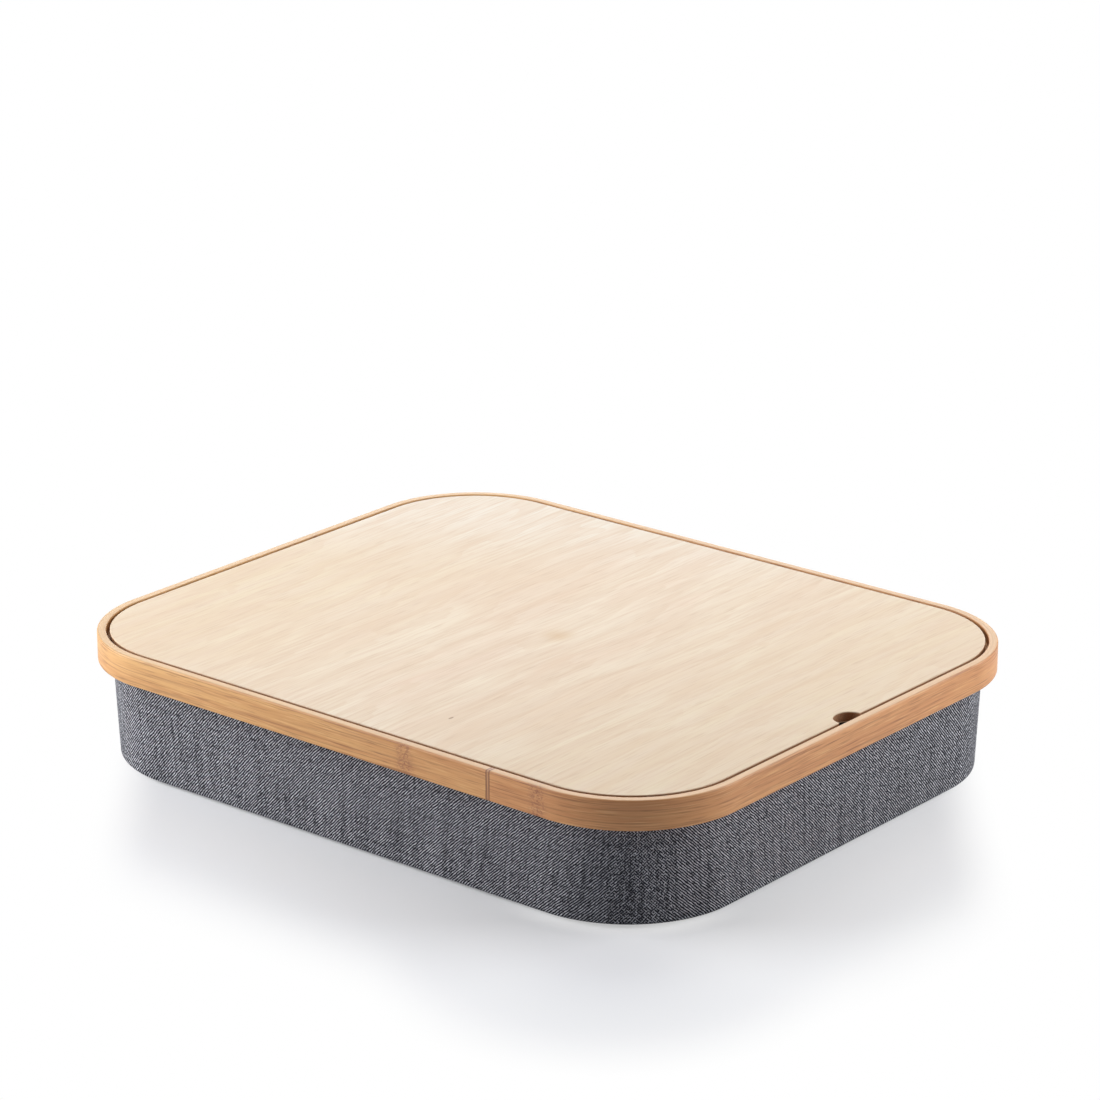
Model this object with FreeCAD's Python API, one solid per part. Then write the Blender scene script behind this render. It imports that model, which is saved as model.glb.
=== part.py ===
"""Lap desk: a fabric-covered storage box with a bent bamboo rim and a lift-out wooden lid.

Millimetres. The origin is under the middle of the desk, on the surface that it stands on.
+X runs along the long side towards the lid's finger notch, -Y faces the user and +Z is up.
An inset is a distance inwards from the rim's outer face.
"""

import FreeCAD
import Part
import os

# Overall size, over the rim
desk_length = 460.0
desk_width = 380.0
desk_height = 80.0
rim_corner_radius = 73.0

# Bent rim strip, the key that closes its joint, and the inner strips that the lid rests on
rim_height = 18.0
rim_thickness = 5.5
rim_outer_round = 1.0
rim_inner_round = 0.8
rim_key_width = 2.4
rim_key_share = 0.388
ledge_thickness = 2.8

# Lift-out lid: a core board between two veneers, with a half-round finger notch
lid_gap = 2.2
lid_core_thickness = 5.0
veneer_thickness = 0.6
lid_edge_round = 0.35
notch_radius = 10.0
notch_centre_outside = 0.8

# Wall boards and base board of the box
wall_thickness = 2.5
foot_corner_extra = 8.0
foot_round = 2.2
base_thickness = 6.0

# Outer fabric cover, turned in over the top of the wall and under the base
cover_thickness = 0.7
cover_turn_in = 14.0
cover_turn_under = 16.0
cover_seam_place = 60.0
felt_thickness = 1.0
felt_margin = 5.0

# Lining: a bent card and a floor card, each faced with cloth
liner_card_thickness = 0.8
liner_cloth_thickness = 0.5
liner_drop = 4.0
liner_joint_place = 30.0
floor_card_thickness = 1.5
floor_clearance = 0.4

# Fixings
screw_length = 8.5
screw_radius = 1.5
screw_head_radius = 2.8
screws_per_long_side = 3
screws_per_short_side = 2
brad_length = 14.0
brad_radius = 0.6
brad_head_radius = 1.2
brad_head_thickness = 0.6
brads_per_long_side = 4
brads_per_short_side = 4

# Clearances: the glue line between faces, the seams of bent strips, and the room round a fixing
glue_line = 0.1
seam_width = 0.5
fixing_clearance = 0.05
overrun = 5.0

# Insets of the faces, from the rim inwards
rim_inner = rim_thickness
lid_edge = rim_inner + lid_gap
ledge_outer = rim_inner + glue_line
ledge_inner = ledge_outer + ledge_thickness
cover_outer = ledge_inner + glue_line
cover_inner = cover_outer + cover_thickness
wall_outer = cover_inner + glue_line
wall_inner = wall_outer + wall_thickness
turn_outer = wall_inner + glue_line
turn_inner = turn_outer + cover_thickness
card_outer = turn_inner + glue_line
card_inner = card_outer + liner_card_thickness
cloth_outer = card_inner + glue_line
cloth_inner = cloth_outer + liner_cloth_thickness
floor_outer = cloth_inner + floor_clearance

# Rounding of the wall's lower edge, within the wall's thickness
wall_round = min(foot_round, wall_thickness - glue_line)

# Levels of the faces, from the floor upwards
cover_foot = felt_thickness
wall_foot = cover_foot + cover_thickness + glue_line
base_top = wall_foot + base_thickness
rim_foot = desk_height - rim_height
seat_level = desk_height - lid_core_thickness - 2 * veneer_thickness
wall_top = seat_level - cover_thickness - glue_line
liner_top = seat_level - liner_drop
screw_level = (rim_foot + seat_level) / 2
brad_level = (wall_foot + wall_round + base_top) / 2

# Corner radius of the cover under the lid, and the straight runs that are left beside the corners
cover_corner = rim_corner_radius - cover_outer
straight_x = desk_length - 2 * (cover_outer + cover_corner + foot_corner_extra)
straight_y = desk_width - 2 * (cover_outer + cover_corner + foot_corner_extra)

# Place of the rim's joint, as a share of the straight run to one side of its middle
rim_key_place = straight_x * rim_key_share

quarter_turn = 90
up = FreeCAD.Vector(0, 0, 1)
quadrants = ((1, 1), (-1, 1), (-1, -1), (1, -1))

# Bays of the plan that a hoop is built up from, by their place along X and along Y
bays = {
    "front": (0, -1),
    "front_right": (1, -1),
    "right": (1, 0),
    "back_right": (1, 1),
    "back": (0, 1),
    "back_left": (-1, 1),
    "left": (-1, 0),
    "front_left": (-1, -1),
}


def outline(inset, corner, level):
    """Closed rounded rectangle at one level."""
    arcs = []
    for turn, (side_x, side_y) in enumerate(quadrants):
        centre = FreeCAD.Vector(
            side_x * (desk_length / 2 - inset - corner),
            side_y * (desk_width / 2 - inset - corner),
            level,
        )
        arcs.append(Part.makeCircle(corner, centre, up, turn * quarter_turn, (turn + 1) * quarter_turn))
    edges = []
    for arc, following in zip(arcs, arcs[1:] + arcs[:1]):
        edges += [arc, Part.makeLine(arc.Vertexes[-1].Point, following.Vertexes[0].Point)]
    return Part.Wire(edges)


def rim_slab(inset, low, high):
    """Upright block whose corners share their centres with the rim's corners."""
    face = Part.Face(outline(inset, rim_corner_radius - inset, low))
    return face.extrude(up * (high - low))


def cover_corner_at(level):
    """Corner radius of the cover's outer face, which grows steadily towards the foot."""
    drop_share = (seat_level - level) / (seat_level - cover_foot)
    return cover_corner + foot_corner_extra * drop_share


def box_block(inset, low, high):
    """Block of the fabric box: flat upright sides, corners that ease towards the foot."""
    wires = [outline(inset, cover_corner_at(z) - (inset - cover_outer), z) for z in (low, high)]
    return Part.makeLoft(wires, True, True)


def round_foot(block, radius):
    """Round the lower edge of a block."""
    foot = min(block.Faces, key=lambda face: face.CenterOfMass.z)
    return block.makeFillet(radius, foot.Edges)


def box_hoop(outer, inner, low, high):
    """Upright wall of the fabric box between two insets."""
    return box_block(outer, low, high).cut(box_block(inner, low - overrun, high + overrun))


def back_slit(place, width):
    """Cutter for the seam of a sleeve, through the wall farthest from the user."""
    size = FreeCAD.Vector(width, desk_width / 2 + overrun, desk_height + 2 * overrun)
    return Part.makeBox(size.x, size.y, size.z, FreeCAD.Vector(place - width / 2, 0, -overrun))


def span(place, straight, full):
    """Ends of one run along a side, clear of its joints: a corner, or the straight between two."""
    ends = (-full / 2, -straight / 2, straight / 2, full / 2)
    return ends[place + 1] + seam_width / 2, ends[place + 2] - seam_width / 2


def in_bays(name, straight_hoop, bent_hoop):
    """Straight strips of one hoop and bent corners of another, joined end to end."""
    strips = {}
    for bay, (column, row) in bays.items():
        low_x, high_x = span(column, straight_x, desk_length)
        low_y, high_y = span(row, straight_y, desk_width)
        corner = FreeCAD.Vector(low_x, low_y, 0)
        block = Part.makeBox(high_x - low_x, high_y - low_y, desk_height, corner)
        hoop = bent_hoop if column and row else straight_hoop
        strips[f"{name}_{bay}"] = hoop.common(block)
    return strips


def side_places(per_long_side, per_short_side):
    """Points on the rim's outer face along its straight sides, each with the way inwards."""
    places = []
    for sign in (-1, 1):
        for count in range(per_long_side):
            along_share = (count + 1 / 2) / per_long_side - 1 / 2
            point = FreeCAD.Vector(straight_x * along_share, sign * desk_width / 2, 0)
            places.append((point, FreeCAD.Vector(0, -sign, 0)))
        for count in range(per_short_side):
            along_share = (count + 1 / 2) / per_short_side - 1 / 2
            point = FreeCAD.Vector(sign * desk_length / 2, straight_y * along_share, 0)
            places.append((point, FreeCAD.Vector(-sign, 0, 0)))
    return places


def screw(place, inwards, room):
    """Countersunk screw driven outwards through the wall into the rim, or its hole with room."""
    head = place + inwards * (wall_inner + room) + up * screw_level
    sink = screw_head_radius - screw_radius
    cone = Part.makeCone(screw_head_radius + room, screw_radius + room, sink, head, -inwards)
    shank = Part.makeCylinder(screw_radius + room, screw_length + 2 * room, head, -inwards)
    return cone.fuse(shank).removeSplitter()


def brad(place, inwards, room):
    """Brad driven inwards through the wall into the base's edge, or its hole with room."""
    head = place + inwards * (wall_outer - room) + up * brad_level
    plate = Part.makeCylinder(brad_head_radius + room, brad_head_thickness + 2 * room, head, inwards)
    shank = Part.makeCylinder(brad_radius + room, brad_length + 2 * room, head, inwards)
    return plate.fuse(shank).removeSplitter()


screw_places = side_places(screws_per_long_side, screws_per_short_side)
brad_places = side_places(brads_per_long_side, brads_per_short_side)
screw_holes = Part.makeCompound([screw(*place, fixing_clearance) for place in screw_places])
brad_holes = Part.makeCompound([brad(*place, fixing_clearance) for place in brad_places])


def closed_rim():
    """Rim strip as a full hoop with eased edges, before its joint is opened."""
    slab = rim_slab(0, rim_foot, desk_height)
    level_edges = [edge for edge in slab.Edges if edge.BoundBox.ZLength < rim_height / 2]
    block = slab.makeFillet(rim_outer_round, level_edges)
    hoop = block.cut(rim_slab(rim_inner, rim_foot - overrun, desk_height + overrun))
    top = max(hoop.Faces, key=lambda face: face.CenterOfMass.z)
    inner_wire = min(top.Wires, key=lambda wire: wire.BoundBox.XLength)
    return hoop.makeFillet(rim_inner_round, inner_wire.Edges)


def key_block(width):
    """Block across the rim strip at its joint on the user's side."""
    corner = FreeCAD.Vector(rim_key_place - width / 2, -desk_width / 2 - overrun, rim_foot - overrun)
    return Part.makeBox(width, 2 * overrun + rim_thickness, rim_height + 2 * overrun, corner)


def rim_hoop():
    """Steam-bent bamboo strip, open where its two ends meet the key."""
    return closed_rim().cut(key_block(rim_key_width)).cut(screw_holes)


def rim_key():
    """Cross-grain key glued between the two ends of the rim strip."""
    return closed_rim().common(key_block(rim_key_width - 2 * glue_line))


def rim_ledge():
    """Lower inner strips glued inside the rim; their top edges are the lid's seat."""
    block = rim_slab(ledge_outer, rim_foot, seat_level)
    hoop = block.cut(rim_slab(ledge_inner, rim_foot - overrun, seat_level + overrun))
    return hoop.cut(screw_holes)


def lid_layer(low, high):
    """One layer of the lid, with the finger notch in the middle of its +X edge."""
    centre = FreeCAD.Vector(desk_length / 2 - lid_edge + notch_centre_outside, 0, low - overrun)
    notch = Part.makeCylinder(notch_radius, high - low + 2 * overrun, centre, up)
    return rim_slab(lid_edge, low, high).cut(notch)


def lid_core():
    """Board between the veneers."""
    return lid_layer(seat_level + veneer_thickness, desk_height - veneer_thickness)


def lid_face_veneer():
    """Pale wood veneer on top, with its upper edge eased."""
    layer = lid_layer(desk_height - veneer_thickness, desk_height)
    top = max(layer.Faces, key=lambda face: face.CenterOfMass.z)
    return layer.makeFillet(lid_edge_round, top.OuterWire.Edges)


def lid_back_veneer():
    """Balancing veneer underneath, which rests on the seat."""
    return lid_layer(seat_level, seat_level + veneer_thickness)


def wall(block):
    """Thin boards round the base with a rounded foot, from blocks of either kind."""
    body = round_foot(block(wall_outer, wall_foot, wall_top), wall_round)
    hoop = body.cut(block(wall_inner, wall_foot - overrun, wall_top + overrun))
    return hoop.cut(screw_holes).cut(brad_holes)


def base_board():
    """Base panel inside the wall boards."""
    return box_block(wall_inner + glue_line, wall_foot, base_top).cut(brad_holes)


def outer_cover():
    """Fabric sleeve glued round the wall, folded over its top edge and under the base."""
    outer_round = wall_round + cover_thickness + glue_line
    turn_foot = seat_level - cover_turn_in
    skin = round_foot(box_block(cover_outer, cover_foot, seat_level), outer_round)
    inside = box_block(cover_inner, cover_foot + cover_thickness, turn_foot)
    fold = box_hoop(cover_inner, turn_outer, turn_foot, seat_level - cover_thickness)
    mouth = box_block(turn_inner, turn_foot, seat_level + overrun)
    underside = box_block(cover_outer + cover_turn_under, cover_foot - overrun, cover_foot + overrun)
    sleeve = skin.cut(round_foot(inside, wall_round + glue_line)).cut(fold).cut(mouth).cut(underside)
    return sleeve.cut(back_slit(cover_seam_place, seam_width)).cut(screw_holes)


def wall_liner_card():
    """Bent card inside the wall, which hides the screws and stands on the base."""
    hoop = box_hoop(card_outer, card_inner, base_top, liner_top)
    return hoop.cut(back_slit(liner_joint_place, seam_width))


def wall_liner_cloth():
    """Lining cloth on the inner face of the bent card."""
    hoop = box_hoop(cloth_outer, cloth_inner, base_top, liner_top)
    return hoop.cut(back_slit(-liner_joint_place, seam_width))


def floor_card():
    """Card under the lining cloth of the floor."""
    inset = floor_outer + liner_cloth_thickness + glue_line
    return box_block(inset, base_top, base_top + floor_card_thickness)


def floor_cloth():
    """Lining cloth drawn over the floor card and down its edge."""
    card_top = base_top + floor_card_thickness
    sheet = box_block(floor_outer, base_top, card_top + liner_cloth_thickness)
    return sheet.cut(box_block(floor_outer + liner_cloth_thickness, base_top - overrun, card_top))


def base_felt():
    """Felt sheet under the base, glued over the turned-under edge of the cover."""
    return box_block(cover_outer + felt_margin, 0, felt_thickness)


sub_parts = {
    "rim_hoop": rim_hoop(),
    "rim_key": rim_key(),
    "lid_core": lid_core(),
    "lid_face_veneer": lid_face_veneer(),
    "lid_back_veneer": lid_back_veneer(),
    "base_board": base_board(),
    "outer_cover": outer_cover(),
    "wall_liner_card": wall_liner_card(),
    "wall_liner_cloth": wall_liner_cloth(),
    "floor_card": floor_card(),
    "floor_cloth": floor_cloth(),
    "base_felt": base_felt(),
    **in_bays("rim_ledge", rim_ledge(), rim_ledge()),
    **in_bays("wall", wall(rim_slab), wall(box_block)),
}
for number, place in enumerate(screw_places, start=1):
    sub_parts[f"rim_screw_{number}"] = screw(*place, 0)
for number, place in enumerate(brad_places, start=1):
    sub_parts[f"base_brad_{number}"] = brad(*place, 0)

os.makedirs("parts", exist_ok=True)
for node, shape in sub_parts.items():
    shape.exportStep(f"parts/{node}.step")
    print(node, len(shape.Solids), shape.isValid(), round(shape.Volume), shape.BoundBox)
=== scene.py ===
"""Lap desk, dressed: a fabric-covered box with a bent bamboo rim and a pale veneered lid.

Metres, in the frame of the solids: +X towards the finger notch, -Y towards the user, +Z up.
"""
import math
import bmesh
import bpy
import numpy as np
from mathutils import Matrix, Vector


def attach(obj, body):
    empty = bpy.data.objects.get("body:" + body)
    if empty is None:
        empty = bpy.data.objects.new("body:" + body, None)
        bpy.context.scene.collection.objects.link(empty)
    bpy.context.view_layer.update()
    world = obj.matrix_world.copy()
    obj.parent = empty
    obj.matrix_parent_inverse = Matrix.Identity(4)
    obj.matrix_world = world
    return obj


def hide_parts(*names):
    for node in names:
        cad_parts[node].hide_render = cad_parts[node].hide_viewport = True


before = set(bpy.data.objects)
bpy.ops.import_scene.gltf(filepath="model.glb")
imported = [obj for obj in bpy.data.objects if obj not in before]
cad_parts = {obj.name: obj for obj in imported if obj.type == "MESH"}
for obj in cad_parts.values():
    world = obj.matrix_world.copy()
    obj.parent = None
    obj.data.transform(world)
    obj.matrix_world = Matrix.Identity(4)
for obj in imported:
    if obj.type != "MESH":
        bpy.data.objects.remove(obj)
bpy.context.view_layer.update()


# Wall boards, base board and brads: thin brown fibre board, flat along the sides and bent at the
# corners, glued and nailed round the base panel. The cover and the lining hide all of it.
class Shade:
    """One value over a surface: a socket of a material's nodes. Sums on it add Math nodes."""

    def __init__(self, tree, socket=None):
        self.tree = tree
        self.socket = socket

    def node(self, kind, settings=None, sockets=None, out=0):
        """Any node: its settings first, then the values or links of its sockets. Gives one output."""
        made = self.tree.nodes.new(kind)
        for name, value in (settings or {}).items():
            setattr(made, name, value)
        for name, value in (sockets or {}).items():
            if isinstance(value, Shade):
                self.tree.links.new(value.socket, made.inputs[name])
            else:
                made.inputs[name].default_value = value
        return Shade(self.tree, made.outputs[out] if made.outputs else None)

    def math(self, operation, *others):
        return self.node("ShaderNodeMath", {"operation": operation}, dict(enumerate((self, *others))))

    def __add__(self, other):
        return self.math("ADD", other)

    def __sub__(self, other):
        return self.math("SUBTRACT", other)

    def __rsub__(self, other):
        return self * -1 + other

    def __mul__(self, other):
        return self.math("MULTIPLY", other)

    def __truediv__(self, other):
        return self.math("DIVIDE", other)

    def __mod__(self, other):
        return self.math("FLOORED_MODULO", other)

    def __pow__(self, other):
        return self.math("POWER", other)

    def __abs__(self):
        return self.math("ABSOLUTE")

    __radd__ = __add__
    __rmul__ = __mul__

    def parts(self):
        """The three numbers of a vector."""
        return [self.node("ShaderNodeSeparateXYZ", None, {0: self}, axis) for axis in range(3)]

    def vector(self, x, y, z=0.0):
        """A vector of three numbers, any of them values over the surface."""
        return self.node("ShaderNodeCombineXYZ", None, {0: x, 1: y, 2: z})

    def noise(self, scale, detail=2.0, warp=0.0):
        """Soft noise at the place that this vector gives, from about 0.2 to 0.8."""
        sockets = {"Vector": self, "Scale": scale, "Detail": detail, "Distortion": warp}
        return self.node("ShaderNodeTexNoise", None, sockets)

    def chance(self):
        """One even random number from 0 to 1 for each value of this vector."""
        return self.node("ShaderNodeTexWhiteNoise", None, {"Vector": self})

    def ease(self, low, high):
        """0 up to low, 1 from high, and a smooth rise between them."""
        sockets = {"Value": self, "From Min": low, "From Max": high}
        return self.node("ShaderNodeMapRange", {"interpolation_type": "SMOOTHSTEP"}, sockets)

    def tint(self, low, high):
        """Colour that goes from low to high as this value goes from 0 to 1."""
        return self.node("ShaderNodeMix", {"data_type": "RGBA"}, {0: self, 6: low, 7: high}, 2)

    def bump(self, distance, strength=1.0):
        """Surface normal for a relief of this height times the distance in metres."""
        sockets = {"Height": self, "Distance": distance, "Strength": strength}
        return self.node("ShaderNodeBump", None, sockets)


def dye(red, green, blue):
    """Linear colour of a paint given in the usual 0 to 255 steps."""
    step = np.array([red, green, blue]) / 255
    linear = np.where(step <= 0.04045, step / 12.92, ((step + 0.055) / 1.055) ** 2.4)
    return (*linear.tolist(), 1.0)


def finish(name, pattern):
    """Material of one finish: pattern takes a blank Shade and gives the shader's sockets."""
    made = bpy.data.materials.new(name)
    made.use_nodes = True
    made.node_tree.nodes.clear()
    blank = Shade(made.node_tree)
    shader = blank.node("ShaderNodeBsdfPrincipled", None, pattern(blank))
    blank.node("ShaderNodeOutputMaterial", None, {"Surface": shader})
    return made


def fibre_board(light, dark):
    """Pressed fibres: fine specks over broad mottling, in two browns."""
    def pattern(shade):
        place = shade.node("ShaderNodeTexCoord", out="Object")
        specks = place.noise(1400, 3)
        mottle = place.noise(70, 3)
        mix = (specks * 0.7 + mottle * 0.3).ease(0.3, 0.7)
        return {
            "Base Color": mix.tint(dye(*dark), dye(*light)),
            "Roughness": 0.75 + specks * 0.15,
            "Normal": specks.bump(0.0002, 0.4),
        }
    return pattern


def plated_steel(shade):
    """Zinc-plated wire: pale grey with faint cloudy marks."""
    clouds = shade.node("ShaderNodeTexCoord", out="Object").noise(600, 3)
    return {
        "Base Color": clouds.tint(dye(150, 152, 155), dye(200, 202, 204)),
        "Roughness": 0.25 + clouds * 0.3,
        "Metallic": 1.0,
    }


def dress(name_start, material):
    """Give one material to every solid whose name starts so."""
    for name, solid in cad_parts.items():
        if name.startswith(name_start):
            for place in solid.material_slots:
                place.material = material


bays = ["front", "front_right", "right", "back_right", "back", "back_left", "left", "front_left"]
board_brown = finish("board_brown", fibre_board((176, 146, 112), (140, 110, 80)))
steel = finish("plated_steel", plated_steel)
for bay in bays:
    dress(f"wall_{bay}", board_brown)
dress("base_board", board_brown)
dress("base_brad_", steel)


# Outer cover: one sleeve of grey heather twill, light warp over dark weft, glued round the wall,
# folded over its top edge and under the base, and lapped at the back where its two ends meet.
half_length, half_width = 0.230, 0.190
cover_inset, cover_thickness = 0.0085, 0.0007
cover_foot, seat_level = 0.0010, 0.0738
cover_corner, corner_growth = 0.0645, 0.0080
cover_turn_in, cover_turn_under, turned_in_inset = 0.0140, 0.0160, 0.00375
foot_round, fold_round = 0.00265, 0.0006
cover_seam_x, cover_lap, cover_lap_height = 0.060, 0.009, 0.00075
lap_low, lap_low_ease, lap_high, lap_high_ease = 0.0040, 0.0040, 0.0615, 0.0030
lap_points = 9


def eased_line(corners, radii, steps, spacing):
    """Open line through corner points, (inset, level) each, with every inner corner rounded.

    A corner is cut back by radius times the tangent of half its turn, and an arc joins the two
    cuts. Points stand about one spacing apart on the straights and in even steps on the arcs.
    """
    corners = np.asarray(corners, float)
    ways = np.diff(corners, axis=0)
    ways /= np.linalg.norm(ways, axis=1)[:, None]
    runs, last = [], corners[0]
    for n, radius in enumerate(radii):
        before, after = ways[n], ways[n + 1]
        turn = math.atan2(before[0] * after[1] - before[1] * after[0], before @ after)
        cut = radius * math.tan(abs(turn) / 2)
        start = corners[n + 1] - before * cut
        side = math.copysign(1, turn) * np.array([-before[1], before[0]])
        angle = np.linspace(0, abs(turn), steps + 1)[:, None]
        count = max(2, int(np.linalg.norm(start - last) / spacing))
        runs.append(last + (start - last) * np.linspace(0, 1, count, endpoint=False)[:, None])
        swing = before * np.sin(angle) - side * np.cos(angle)
        runs.append((start + side * radius + radius * swing)[:-1])
        last = corners[n + 1] + after * cut
    count = max(2, int(np.linalg.norm(corners[-1] - last) / spacing))
    runs.append(last + (corners[-1] - last) * np.linspace(0, 1, count + 1)[:, None])
    return np.concatenate(runs)


def cloth_section(line, thickness):
    """Closed section of a cloth of even thickness about a line.

    Each point of the line moves half the thickness to either side, square to the line; the
    outer side runs forwards and the inner side backwards.
    """
    way = np.gradient(line, axis=0)
    way /= np.linalg.norm(way, axis=1)[:, None]
    square = np.stack([way[:, 1], -way[:, 0]], axis=1) * thickness / 2
    return np.concatenate([line - square, (line + square)[::-1]])


def walk(joint_x, lap, corner_steps=28, straight_points=37):
    """Way round the desk from a joint on the back, as three arrays: fixed, sign and out.

    A point of the way is fixed + sign * (half size - inset - corner) + out * corner: the corner's
    centre, carried outwards by the corner radius. On a straight, sign goes evenly from one corner
    to the next. A lap carries the way on past the joint. Turned half round, the same way starts
    from a joint on the user's side.
    """
    signs = np.array([(-1, 1), (-1, -1), (1, -1), (1, 1)], float)
    along, around = np.linspace(0, 1, straight_points), np.linspace(0, math.pi / 2, corner_steps + 1)
    fixed, sign, out = [], [], []
    for n, corner in enumerate(signs):
        before = signs[n - 1] if n else np.array([0.0, 1.0])
        part = along[:-1, None] if n == 0 else along[1:-1, None]
        fixed.append((1 - part) * np.array([joint_x, 0.0]) if n == 0 else part * np.zeros(2))
        sign.append(before + (corner - before) * part)
        facing = (n + 1) * math.pi / 2
        out.append(np.tile([math.cos(facing), math.sin(facing)], (len(part), 1)))
        angle = facing + around
        fixed.append(np.zeros((len(angle), 2)))
        sign.append(np.tile(corner, (len(angle), 1)))
        out.append(np.stack([np.cos(angle), np.sin(angle)], axis=1))
    part = along[1:, None]
    fixed.append(part * np.array([joint_x, 0.0]))
    sign.append((1 - part) * np.array([1.0, 0.0]) + np.array([0.0, 1.0]))
    out.append(np.tile([0.0, 1.0], (len(part), 1)))
    if lap:
        past = np.linspace(0, lap, lap_points + 1)[1:, None]
        fixed.append(np.array([joint_x, 0.0]) - past * np.array([1.0, 0.0]))
        sign.append(np.tile([0.0, 1.0], (len(past), 1)))
        out.append(np.tile([0.0, 1.0], (len(past), 1)))
    return np.concatenate(fixed), np.concatenate(sign), np.concatenate(out)


def carry(way, inset, corner, level):
    """Grid of points: a section, given by its insets, corner radii and levels, carried along a way."""
    fixed, sign, out = (part[:, None, :] for part in way)
    half = np.array([half_length, half_width])
    size = len(fixed), len(level)
    inset, corner = (np.broadcast_to(value, size)[..., None] for value in (inset, corner))
    flat = fixed + sign * (half - inset - corner) + out * corner
    height = np.broadcast_to(level, flat.shape[:2])[..., None]
    return np.concatenate([flat, height], axis=2)


def lengths(points):
    """Distance from the first point to each point, along the line through them."""
    return np.concatenate([[0.0], np.cumsum(np.linalg.norm(np.diff(points, axis=0), axis=1))])


def there_and_back(line):
    """Lengths along a cloth's line for its closed section: out, back again, and on to the start."""
    out = lengths(line)
    return np.concatenate([out, out[::-1], out[:1]])


def cut_map(along, up):
    """Pattern map of a strip: each point's length along the way and its length up the section."""
    return np.stack(np.meshgrid(along, up, indexing="ij"), axis=2)


def lap_rise(way, before, over):
    """How far a lapped end has lifted, from 0 to 1, for each point of its way.

    It starts some points before the lap and rises evenly over a few points.
    """
    count = len(way[0])
    return np.clip((np.arange(count) - count + lap_points + before) / over, 0, 1)[:, None]


def skin(name, grid, uv, around=False, ends=False):
    """Piece from a grid of points, rows along the way and columns along the section.

    Each cell is one face. around closes the section, and then uv has one column more than the
    grid, so that the pattern does not run back; ends closes the first and the last section.
    Points that fall together are joined, and the faces are turned outwards.
    """
    rows, columns = grid.shape[:2]
    row, column = np.meshgrid(np.arange(rows - 1), np.arange(columns - (not around)), indexing="ij")
    row, column = row.ravel(), column.ravel()
    cell = [(row, column), (row + 1, column), (row + 1, column + 1), (row, column + 1)]
    faces = np.stack([r * columns + c % columns for r, c in cell], axis=1)
    spots = np.stack([uv[r, c] for r, c in cell], axis=1).reshape(-1, 2)
    polygons = faces.tolist()
    if ends:
        first, last = np.arange(columns), np.arange(columns) + (rows - 1) * columns
        polygons += [first.tolist(), last[::-1].tolist()]
        spots = np.concatenate([spots, uv[0, :columns], uv[-1, :columns][::-1]])
    mesh = bpy.data.meshes.new(name)
    mesh.from_pydata(grid.reshape(-1, 3).tolist(), [], polygons)
    mesh.uv_layers.new(name="cut").data.foreach_set("uv", spots.ravel())
    mesh.polygons.foreach_set("use_smooth", np.ones(len(polygons), bool))
    joined = bmesh.new()
    joined.from_mesh(mesh)
    bmesh.ops.remove_doubles(joined, verts=joined.verts, dist=1e-6)
    bmesh.ops.recalc_face_normals(joined, faces=joined.faces)
    joined.to_mesh(mesh)
    joined.free()
    mesh.set_sharp_from_angle(angle=math.radians(50))
    piece = bpy.data.objects.new(name, mesh)
    bpy.context.scene.collection.objects.link(piece)
    return piece


def cover_corner_at(level):
    """Corner radius of the cover's outer face: it grows evenly from the lid's seat to the foot."""
    return cover_corner + corner_growth * (seat_level - level) / (seat_level - cover_foot)


def heather_twill(shade):
    """Twill of light warp over dark weft: light ribs at 45 degrees, one every six yarns, as a cosine
    of the distance across them. Round each corner they change hands in patches. Dashes along the
    ribs, flecks and slubs of uneven yarn break them up, and the bump shows single yarns.
    """
    yarn, yarns_to_rib, half_corner = 0.00032, 6, 0.052
    place = shade.node("ShaderNodeUVMap", {"uv_map": "cut"})
    along, up, _ = place.parts()
    turned = 0.0
    for middle, sign in zip(corner_middles, (1, -1, 1, -1)):
        turned = turned + sign * along.ease(middle - half_corner, middle + half_corner)
    hand = (turned + (place.noise(740, 1) - 0.5) * turned * (1 - turned) * 12).ease(0.42, 0.58)
    wobble = place.noise(240, 1) * 0.0014
    ribs, dashes = [], []
    for slant in (-1, 1):
        across = along + up * slant + wobble
        ribs.append((across * (math.tau / yarn / yarns_to_rib)).math("COSINE"))
        dashes.append(shade.vector(across * 620, up * 460, slant).noise(1.0, 1))
    rib = ribs[0] + hand * (ribs[1] - ribs[0])
    dash = dashes[0] + hand * (dashes[1] - dashes[0])
    flecks = place.noise(900, 1)
    upright = shade.vector(along * 560, up * 16).noise(1.0, 2)
    level = shade.vector(along * 40, up * 420).noise(1.0, 2)
    slub = upright * 0.7 + level * 0.3
    uneven = (dash * 0.9 + flecks * 0.9 + slub * 0.8).ease(0.85, 1.75)
    light = uneven.tint(dye(56, 57, 64), dye(228, 229, 235))
    dark = uneven.tint(dye(4, 4, 7), dye(54, 55, 65))
    round_warp = 1 - abs((along / yarn % 1.0) - 0.5) * 2
    round_weft = 1 - abs((up / yarn % 1.0) - 0.5) * 2
    relief = round_weft * 0.4 + (rib * 0.5 + 0.5) * (round_warp * 0.6 + 0.6)
    return {
        "Base Color": rib.ease(-0.15, 0.95).tint(dark, light),
        "Roughness": 0.9,
        "Specular IOR Level": 0.05,
        "Normal": relief.bump(0.00006, 0.5),
    }


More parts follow.
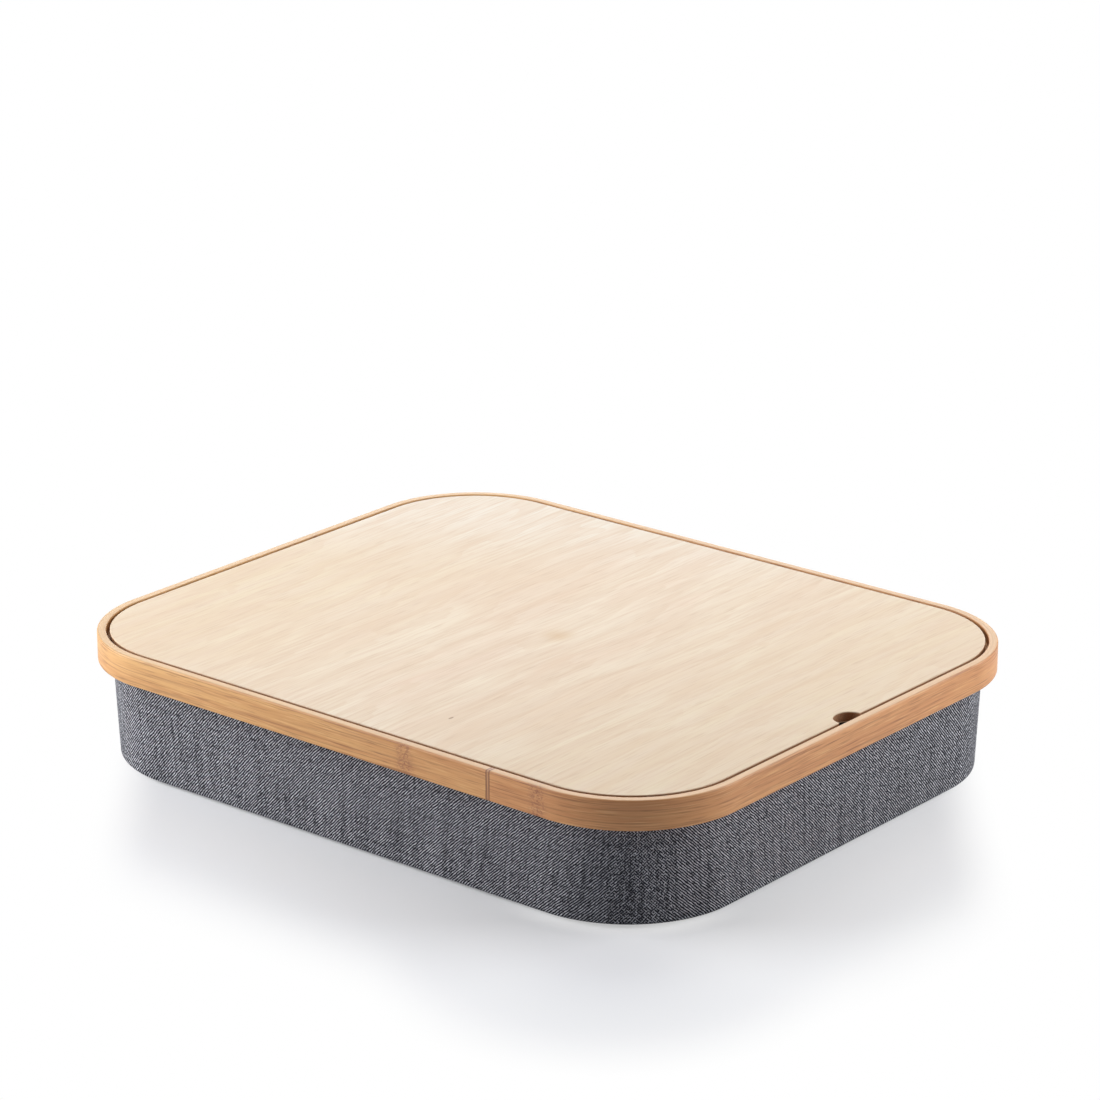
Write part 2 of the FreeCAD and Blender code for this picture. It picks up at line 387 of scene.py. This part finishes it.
cover_half = cover_thickness / 2
cover_face, cover_inside = cover_inset + cover_half, cover_inset + turned_in_inset
cover_low, cover_high = cover_foot + cover_half, seat_level - cover_half
cover_line = eased_line(
    [(cover_inset + cover_turn_under, cover_low), (cover_face, cover_low), (cover_face, cover_high),
     (cover_inside, cover_high), (cover_inside, seat_level - cover_turn_in)],
    [foot_round, fold_round, fold_round], steps=8, spacing=0.003)
cover_section = cloth_section(cover_line, cover_thickness)
cover_in, cover_level = cover_section.T
cover_way = walk(cover_seam_x, cover_lap)
above_foot = np.clip((cover_level - lap_low) / lap_low_ease, 0, 1)
below_rim = np.clip((lap_high - cover_level) / lap_high_ease, 0, 1)
cover_shift = cover_lap_height * lap_rise(cover_way, 3, 4) * (above_foot * below_rim)[None, :]
cover_radius = cover_corner_at(cover_level) - (cover_in - cover_inset)
cover_grid = carry(cover_way, cover_in - cover_shift, cover_radius, cover_level)
face_point = len(cover_line) // 3
cover_along = lengths(cover_grid[:, face_point])
cover_up = there_and_back(cover_line)
turn_of_way = np.unwrap(np.arctan2(cover_way[2][:, 1], cover_way[2][:, 0]))
middle_turns = (np.arange(4) + 1.5) * math.pi / 2
corner_middles = np.interp(middle_turns, turn_of_way, cover_along).tolist()
cover = skin("fabric_cover", cover_grid, cut_map(cover_along, cover_up), around=True, ends=True)
cover.data.materials.append(finish("grey_heather_twill", heather_twill))
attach(cover, "box")
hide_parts("outer_cover")


# Base felt: charcoal needle felt, cut to the foot's outline and glued under the base over the
# turned-under edge of the cover.
felt_thickness, felt_margin, felt_edge_round, felt_glue = 0.0010, 0.0050, 0.0004, 0.00002


def plate_section(inset, low, high, edge_round):
    """Half section of a flat sheet: from its middle out over the top, round the edge and back below."""
    corners = [(half_width, high), (inset, high), (inset, low), (half_width, low)]
    return eased_line(corners, [edge_round, edge_round], steps=5, spacing=0.02)


def plate_grid(way, section, corner_at):
    """Sheet filling an outline, drawn in towards the desk's centre.

    The outline keeps its shape as it shrinks: each point is the edge point times the share of the
    way out, which is 1 at the section's least inset and 0 at half the desk's width.
    """
    inset, level = section.T
    edge = inset.min()
    share = np.clip((half_width - inset) / (half_width - edge), 0.0, 1.0)
    points = carry(way, np.full(len(level), edge), np.full(len(level), corner_at(edge)), level)
    points[..., :2] *= share[None, :, None]
    return points


def needle_felt(shade):
    """Matted fibres: short curls of two dark greys, with a soft nap."""
    place = shade.node("ShaderNodeTexCoord", out="Object")
    curls = place.noise(2600, 4, 2.5)
    clouds = place.noise(45, 3)
    mix = (curls * 0.8 + clouds * 0.2).ease(0.3, 0.75)
    return {
        "Base Color": mix.tint(dye(36, 36, 39), dye(92, 92, 96)),
        "Roughness": 0.95,
        "Specular IOR Level": 0.1,
        "Sheen Weight": 0.2,
        "Normal": curls.bump(0.0003, 0.7),
    }


def foot_corner(inset):
    """Corner radius of the foot at an inset."""
    return cover_corner + corner_growth - (inset - cover_inset)


felt_way = walk(0.0, 0.0)
felt_high = felt_thickness - felt_glue
felt_section = plate_section(cover_inset + felt_margin, 0.0, felt_high, felt_edge_round)
felt_grid = plate_grid(felt_way, felt_section, foot_corner)
felt = skin("felt_sheet", felt_grid, felt_grid[..., :2])
felt.data.materials.append(finish("charcoal_needle_felt", needle_felt))
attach(felt, "box")
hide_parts("base_felt")


# Lining: grey card bent round inside the wall and a second card on the floor, both faced with a
# plain dark cloth. The wall's cloth is turned over the card's top edge, the floor's down its sides.
lining_inset, lining_thickness, lining_glue = 0.01385, 0.0005, 0.0001
base_top, lining_top, lining_fold, lining_fold_round = 0.0078, 0.0698, 0.0011, 0.0003
lining_seam_x, lining_lap, lining_lap_height = -0.030, 0.006, 0.00055
lining_lap_low, lining_lap_ease, lining_face_point = 0.0105, 0.0020, 3
floor_cloth_inset, floor_card_top, floor_edge_round = 0.01475, 0.0093, 0.0006


def grey_card(shade):
    """Pressed waste paper: grey pulp with scattered pale and dark flecks."""
    place = shade.node("ShaderNodeTexCoord", out="Object")
    pulp = place.noise(500, 4)
    flecks = place.noise(1700, 1).ease(0.62, 0.72)
    mix = (pulp * 0.8 + flecks * 0.3).ease(0.2, 0.9)
    return {
        "Base Color": mix.tint(dye(120, 116, 110), dye(190, 186, 178)),
        "Roughness": 0.9,
        "Normal": pulp.bump(0.0001, 0.5),
    }


def plain_weave(shade):
    """One-over-one weave of dark yarns: warp and weft change places in every next cell."""
    yarn = 0.0006
    place = shade.node("ShaderNodeUVMap", {"uv_map": "cut"})
    along, up, _ = place.parts()
    warp_place, weft_place = along / yarn, up / yarn
    warp, weft = warp_place.math("FLOOR"), weft_place.math("FLOOR")
    over = (warp + weft) % 2.0
    single = shade.vector(warp, weft, 5.0).chance()
    slub = shade.vector(along * 1500, up * 60).noise(1.0, 1)
    tone = single * 0.4 + slub * 0.4
    round_warp = (1 - abs((warp_place % 1.0) - 0.5) * 2) ** 0.5
    round_weft = (1 - abs((weft_place % 1.0) - 0.5) * 2) ** 0.5
    relief = round_weft + over * (round_warp - round_weft)
    return {
        "Base Color": (tone + over * 0.2).ease(0.05, 0.95).tint(dye(44, 45, 48), dye(92, 93, 97)),
        "Roughness": 0.9,
        "Specular IOR Level": 0.2,
        "Sheen Weight": 0.1,
        "Normal": relief.bump(0.00018, 0.7),
    }


card = finish("grey_card", grey_card)
dress("wall_liner_card", card)
dress("floor_card", card)
weave = finish("dark_plain_weave", plain_weave)

lining_half = lining_thickness / 2
lining_line = eased_line(
    [(lining_inset, base_top + lining_glue), (lining_inset, lining_top + lining_half),
     (lining_inset - lining_fold, lining_top + lining_half)],
    [lining_fold_round], steps=5, spacing=0.004)
lining_section = cloth_section(lining_line, lining_thickness)
lining_in, lining_level = lining_section.T
lining_way = walk(lining_seam_x, lining_lap)
above_floor = np.clip((lining_level - lining_lap_low) / lining_lap_ease, 0, 1)
lining_shift = lining_lap_height * lap_rise(lining_way, 2, 3) * above_floor
lining_radius = cover_corner_at(lining_level) - (lining_in - cover_inset)
lining_grid = carry(lining_way, lining_in + lining_shift, lining_radius, lining_level)
lining_along = lengths(lining_grid[:, lining_face_point])
lining_up = there_and_back(lining_line)
lining = skin("wall_lining", lining_grid, cut_map(lining_along, lining_up), around=True, ends=True)
lining.data.materials.append(weave)
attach(lining, "box")
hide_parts("wall_liner_cloth")

floor_high = floor_card_top + lining_half
floor_line = eased_line(
    [(half_width, floor_high), (floor_cloth_inset, floor_high),
     (floor_cloth_inset, base_top + lining_glue)],
    [floor_edge_round], steps=6, spacing=0.02)
floor_section = cloth_section(floor_line, lining_thickness)
floor_section[[0, -1], 0] = half_width
floor_grid = plate_grid(felt_way, floor_section, foot_corner)
floor_uv = np.concatenate([floor_grid[..., :2], floor_grid[:, :1, :2]], axis=1)
mat = skin("floor_lining", floor_grid, floor_uv, around=True)
mat.data.materials.append(weave)
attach(mat, "box")
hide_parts("floor_cloth")


# Lid seat: straight and bent strips of bamboo glued inside the rim, and countersunk screws that go
# through the wall into them from inside, under the turned-in edge of the cover.
honey, amber, line_red = (206, 158, 98), (187, 133, 77), (122, 72, 42)
red_honey, red_amber, pale_streak = (203, 146, 92), (183, 121, 72), (222, 178, 122)


def bamboo(shade, place, red):
    """Bundles of fibres along the strip: fine red-brown lines on honey wood, in broad soft bands.

    place runs along the strip by its first part and across it by the other two; red goes from
    0 for yellow wood to 1 for redder wood.
    """
    along, across, deep = place.parts()
    lines = shade.vector(along * 12, across * 800, deep * 800).noise(1.0, 3)
    dashes = shade.vector(along * 45, across * 1100, deep * 1100).noise(1.0, 2)
    bundles = shade.vector(along * 5, across * 330, deep * 330).noise(1.0, 3, 0.4)
    bands = shade.vector(along * 6, across * 70, deep * 70).noise(1.0, 2)
    pale = red.tint(dye(*honey), dye(*red_honey))
    deep_tone = red.tint(dye(*amber), dye(*red_amber))
    ground = (bundles * 0.6 + bands * 0.4).ease(0.32, 0.68).tint(pale, deep_tone)
    streaked = ((1 - dashes.ease(0.28, 0.46)) * 0.45).tint(ground, dye(*pale_streak))
    marks = lines.ease(0.50, 0.70) * 0.48 + dashes.ease(0.54, 0.70) * 0.44
    return marks.tint(streaked, dye(*line_red)), lines


def ledge_bamboo(shade):
    """Bamboo whose fibres lie level, whichever way the strip runs."""
    x, y, z = shade.node("ShaderNodeTexCoord", out="Object").parts()
    colour, lines = bamboo(shade, shade.vector(x + y, z, 0.0), x.ease(-0.2, 0.2))
    return {"Base Color": colour, "Roughness": 0.5 + lines * 0.15, "Normal": lines.bump(0.00005, 0.4)}


dress("rim_ledge_", finish("ledge_bamboo", ledge_bamboo))
dress("rim_screw_", steel)


# Rim: one bamboo strip, 18 mm high, steam-bent round the box with its long edges eased, and closed
# on the user's side by a thin key set across the joint. Clear satin lacquer.
rim_foot, rim_top, rim_thickness, rim_corner = 0.062, 0.080, 0.0055, 0.073
rim_outer_round, rim_inner_round, rim_foot_round = 0.0010, 0.0008, 0.0003
front_straight, key_share, key_width = 0.298, 0.388, 0.0024
key_x = front_straight * key_share
node_start, node_step = 0.034, 0.4804
glue_brown = (112, 66, 42)


def rim_bamboo(shade):
    """Bamboo strip: every half metre or so its fibres knot in a wavy red-brown band, its top face is
    painted paler as a painted sheen of light, and its two ends darken at the glue.
    """
    place = shade.node("ShaderNodeUVMap", {"uv_map": "cut"})
    along, up, _ = place.parts()
    sway = shade.vector(up * 260, along * 20).noise(1.0, 2)
    ring = abs((along - node_start + node_step / 2 + (sway - 0.5) * 0.009) % node_step - node_step / 2)
    knot = 1 - ring.ease(0.0020, 0.0085)
    core = 1 - ring.ease(0.0002, 0.0012)
    curls = shade.vector(along * 420, up * 760).noise(1.0, 3, 1.0)
    red = 1 - along.ease(0.40, 0.95) + along.ease(1.38, 1.52) * 0.6
    colour, lines = bamboo(shade, shade.vector(along, up, 0.0), red)
    stain = knot * (curls.ease(0.44, 0.62) * 0.55 + 0.12) + core * curls.ease(0.35, 0.6) * 0.2
    knotted = stain.tint(colour, dye(136, 80, 54))
    # painted sheen: the face turned up is painted paler, standing in for the light and reflection on it
    on_top = up.ease(top_start - 0.0008, top_start) * (1 - up.ease(top_end, top_end + 0.0006))
    top_sheen_painted = (on_top * 0.6).tint(knotted, dye(208, 177, 134))
    joint = 1 - along.math("MINIMUM", rim_length - along).ease(0.0002, 0.0006)
    return {
        "Base Color": (joint * 0.6).tint(top_sheen_painted, dye(*glue_brown)),
        "Roughness": 0.44 + lines * 0.14,
        "Coat Weight": 0.08,
        "Coat Roughness": 0.3,
        "Normal": (lines * 0.5 + core * 0.8).bump(0.00006, 0.5),
    }


def key_bamboo(shade):
    """Cross-grain sliver: fibres stand upright, with a dark glue line down each side."""
    x, y, z = shade.node("ShaderNodeTexCoord", out="Object").parts()
    fibres = shade.vector(x * 3000, y * 900, z * 60).noise(1.0, 3)
    glue = abs(x - key_x).ease(key_width * 0.26, key_width * 0.34)
    wood = fibres.ease(0.3, 0.7).tint(dye(182, 134, 92), dye(156, 106, 70))
    return {
        "Base Color": glue.tint(wood, dye(*glue_brown)),
        "Roughness": 0.45,
        "Normal": fibres.bump(0.00005, 0.4),
    }


rim_middle = rim_thickness / 2
outer_line = eased_line(
    [(rim_middle, rim_foot), (0, rim_foot), (0, rim_top), (rim_middle, rim_top)],
    [rim_outer_round, rim_outer_round], steps=8, spacing=0.004)
inner_line = eased_line(
    [(rim_middle, rim_top), (rim_thickness, rim_top),
     (rim_thickness, rim_foot), (rim_middle, rim_foot)],
    [rim_inner_round, rim_foot_round], steps=5, spacing=0.006)
rim_section = np.concatenate([outer_line[:-1], inner_line[:-1]])
rim_way = [-part for part in walk(-key_x, 0.0, corner_steps=40)]
rim_way[0][0], rim_way[0][-1] = (key_x + key_width / 2, 0.0), (key_x - key_width / 2, 0.0)
rim_grid = carry(rim_way, rim_section[:, 0], rim_corner - rim_section[:, 0], rim_section[:, 1])
rim_along = lengths(rim_grid[:, 0])
rim_up = lengths(np.concatenate([rim_section, rim_section[:1]]))
rim_length = float(rim_along[-1])
on_top_edge = rim_section[:, 1] > rim_top - 1e-6
top_start, top_end = (float(end) for end in rim_up[:-1][on_top_edge][[0, -1]])
rim = skin("bent_rim", rim_grid, cut_map(rim_along, rim_up), around=True, ends=True)
rim.data.materials.append(finish("rim_bamboo", rim_bamboo))
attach(rim, "box")
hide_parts("rim_hoop")
dress("rim_key", finish("key_bamboo", key_bamboo))


# Lid: a board of brown fibres between two pale veneers, cut to drop into the rim on to its seat,
# with a half-round notch for a fingertip. Matt clear lacquer; the veneer's grain runs front to back.
knot_x, knot_y, knot_wide, knot_long = 0.0102, -0.0020, 0.0135, 0.0150
chip_x, chip_y, chip_wide, chip_long = 0.0491, -0.1434, 0.0010, 0.0026


def pale_veneer(shade):
    """Sliced pale wood: cream and faint pink flames along the grain, growth bands that deepen slowly
    and end in an edge, fine lines and pores. It is deeper towards both ends, which is painted shade,
    and paler at the far left, which is a painted reflection; it has one soft knot and one small chip.
    """
    x, y, _ = shade.node("ShaderNodeTexCoord", out="Object").parts()
    drift = shade.vector(x * 9, y * 4).noise(1.0, 2) * 0.012
    across = x + drift
    flames = shade.vector(across * 30, y * 8).noise(1.0, 3, 0.6)
    bands = shade.vector(across * 110, y * 12).noise(1.0, 3)
    rings = (across * 38 + flames * 3.0).math("FRACT")
    late = rings.ease(0.1, 0.94) * (1 - rings.ease(0.94, 1.0))
    lines = shade.vector(across * 520, y * 14).noise(1.0, 2)
    pores = shade.vector(across * 1200, y * 45).noise(1.0, 1).ease(0.56, 0.74)
    cream = flames.ease(0.35, 0.72).tint(dye(229, 215, 194), dye(225, 202, 182))
    # painted shade: the veneer deepens towards both ends of the lid
    painted_end_shade = (abs(x) + flames * 0.15).ease(0.05, 0.28)
    end_shaded = (painted_end_shade * 0.6).tint(cream, dye(216, 198, 165))
    # painted reflection: the veneer pales towards the far left, as if it gave back the bright backdrop
    pale = (y - x * 0.6).ease(0.10, 0.26)
    back_sheen_painted = (pale * 0.9).tint(end_shaded, dye(229, 222, 211))
    ground = (bands.ease(0.3, 0.7) * 0.6).tint(back_sheen_painted, dye(220, 201, 180))
    ringed = (late * 0.30).tint(ground, dye(212, 184, 155))
    lined = (lines.ease(0.42, 0.70) * 0.40).tint(ringed, dye(210, 182, 154))
    pored = (pores * 0.30).tint(lined, dye(188, 155, 125))
    spot = (((x - knot_x) / knot_wide) ** 2 + ((y - knot_y) / knot_long) ** 2) ** 0.5
    knot = 1 - (spot + bands * 0.8).ease(0.3, 1.40)
    knotted = (knot * 0.6).tint(pored, dye(203, 167, 122))
    dent = ((x - chip_x) / chip_wide) ** 2 + ((y - chip_y) / chip_long) ** 2
    chip = 1 - dent.ease(0.3, 1.0)
    return {
        "Base Color": (chip * 0.7).tint(knotted, dye(140, 102, 70)),
        "Roughness": 0.50 + lines * 0.12,
        "Specular IOR Level": 0.25,
        "Normal": (lines * 0.6 - pores * 0.4).bump(0.00004, 0.35),
    }


veneer = finish("pale_veneer", pale_veneer)
dress("lid_face_veneer", veneer)
dress("lid_back_veneer", veneer)
dress("lid_core", finish("lid_board_edge", fibre_board((172, 130, 94), (136, 98, 68))))


# Floor, light and camera: a sheet of white paper on the table with a painted glow that only the eye
# sees, broad soft boxes left, right, above and behind, and a camera over the user's right hand.
white = (1.0, 1.0, 1.0, 1.0)
paper_white = (0.93, 0.945, 0.985, 1.0)
foot_straight_x, foot_straight_y, foot_radius = 0.149, 0.109, 0.0725
dim_x, dim_y = 0.219, -0.214
across_x, across_y = 0.771, 0.636
table_reach = 6.0


def seen_by_eye(shade):
    """1 on rays from the camera and on those that gloss or glass sends on, 0 on the lamps' own rays."""
    kinds = ("Camera", "Glossy", "Transmission")
    rays = [shade.node("ShaderNodeLightPath", out=f"Is {kind} Ray") for kind in kinds]
    return (rays[0] + rays[1] + rays[2]).math("MINIMUM", 1.0)


def painted_glow_share(shade):
    """Share of painted glow in the paper, to the eye: painted light that lifts its real shadow; the
    rest of it takes light and shadow.

    The share is low by the desk's foot, and lowest round a dim place before the front corner. It
    rises to 1 with the distance from the foot's outline, and past both ends of the desk as they
    lie across the view.
    """
    x, y, _ = shade.node("ShaderNodeTexCoord", out="Object").parts()
    beside = (abs(x) - foot_straight_x).math("MAXIMUM", 0.0)
    before = (abs(y) - foot_straight_y).math("MAXIMUM", 0.0)
    away = (beside * beside + before * before) ** 0.5 - foot_radius
    from_dim = ((x - dim_x) * (x - dim_x) + (y - dim_y) * (y - dim_y)) ** 0.5
    # painted light: past both ends of the desk the glow covers the paper's real shadow
    past_ends = abs(x * across_x + y * across_y).ease(0.222, 0.264)
    by_corner = (1 - away.ease(0.0, 0.015)) * (1 - from_dim.ease(0.06, 0.12))
    # painted light: even by the foot some glow lifts the paper's real shadow
    by_foot = x.ease(0.12, 0.22) * 0.16 + by_corner * 0.25 + 0.18
    least = by_foot - (1 - from_dim.ease(0.0, 0.083)) * 0.33
    least = least + (1 - least) * past_ends
    return least + (1 - least) * away.ease(0.06, 0.145) * from_dim.ease(0.068, 0.133)


floor_points = table_reach * np.array([[(-1, -1, 0), (-1, 1, 0)], [(1, -1, 0), (1, 1, 0)]])
floor = skin("table_top", floor_points, floor_points[..., :2])
paper = bpy.data.materials.new("white_paper")
paper.use_nodes = True
paper.node_tree.nodes.clear()
blank = Shade(paper.node_tree)
matt = blank.node("ShaderNodeBsdfDiffuse", None, {"Color": paper_white})
glow = blank.node("ShaderNodeEmission", None, {"Color": white, "Strength": 1.0})
# painted light: the paper glows white for the eye by this share
glow_share = seen_by_eye(blank) * painted_glow_share(blank)
both = blank.node("ShaderNodeMixShader", None, {0: glow_share, 1: matt, 2: glow})
blank.node("ShaderNodeOutputMaterial", None, {"Surface": both})
floor.data.materials.append(paper)

world = bpy.data.worlds.new("studio")
bpy.context.scene.world = world
world.use_nodes = True
world.node_tree.nodes.clear()
blank = Shade(world.node_tree)
air = blank.node("ShaderNodeBackground", None, {"Color": white, "Strength": 0.04})
backdrop = blank.node("ShaderNodeBackground", None, {"Color": white, "Strength": 1.0})
both = blank.node("ShaderNodeMixShader", None, {0: seen_by_eye(blank), 1: air, 2: backdrop})
blank.node("ShaderNodeOutputWorld", None, {"Surface": both})


def soft_box(name, place, aim, size, watts):
    """Square white lamp of one size at a place, turned to a point."""
    lamp = bpy.data.lights.new(name, "AREA")
    lamp.shape, lamp.size, lamp.energy = "SQUARE", size, watts
    holder = bpy.data.objects.new(name, lamp)
    holder.location = place
    holder.rotation_mode = "QUATERNION"
    holder.rotation_quaternion = (Vector(aim) - Vector(place)).to_track_quat("-Z", "Y")
    bpy.context.scene.collection.objects.link(holder)


soft_box("soft_box_above", (-0.1, 0.2, 1.6), (0, 0, 0.05), 1.4, 5.0)
soft_box("soft_box_behind", (-0.6, 0.9, 1.3), (0, 0, 0.05), 1.2, 5.0)
soft_box("soft_box_back", (-0.98, 1.26, 0.6), (0, 0, 0.05), 1.4, 12.0)
soft_box("soft_box_left", (-0.93, -0.76, 0.5), (0, 0, 0.04), 0.9, 19.0)
soft_box("soft_box_right", (0.93, 0.76, 0.5), (0, 0, 0.04), 0.9, 13.8)

aim, distance = Vector((-0.16485, 0.20359, 0.040)), 2.734714
turn, height = math.radians(39.528), math.radians(19.169)
lens = bpy.data.cameras.new("camera")
lens.lens, lens.sensor_width, lens.sensor_fit = 135.72, 36.0, "AUTO"
lens.clip_end = 50.0
eye = bpy.data.objects.new("camera", lens)
level = math.cos(height)
back = Vector((math.sin(turn) * level, -math.cos(turn) * level, math.sin(height)))
eye.location = aim + back * distance
eye.rotation_mode = "QUATERNION"
eye.rotation_quaternion = (-back).to_track_quat("-Z", "Y")
bpy.context.scene.collection.objects.link(eye)
bpy.context.scene.camera = eye
bpy.context.scene.view_settings.view_transform = "Standard"
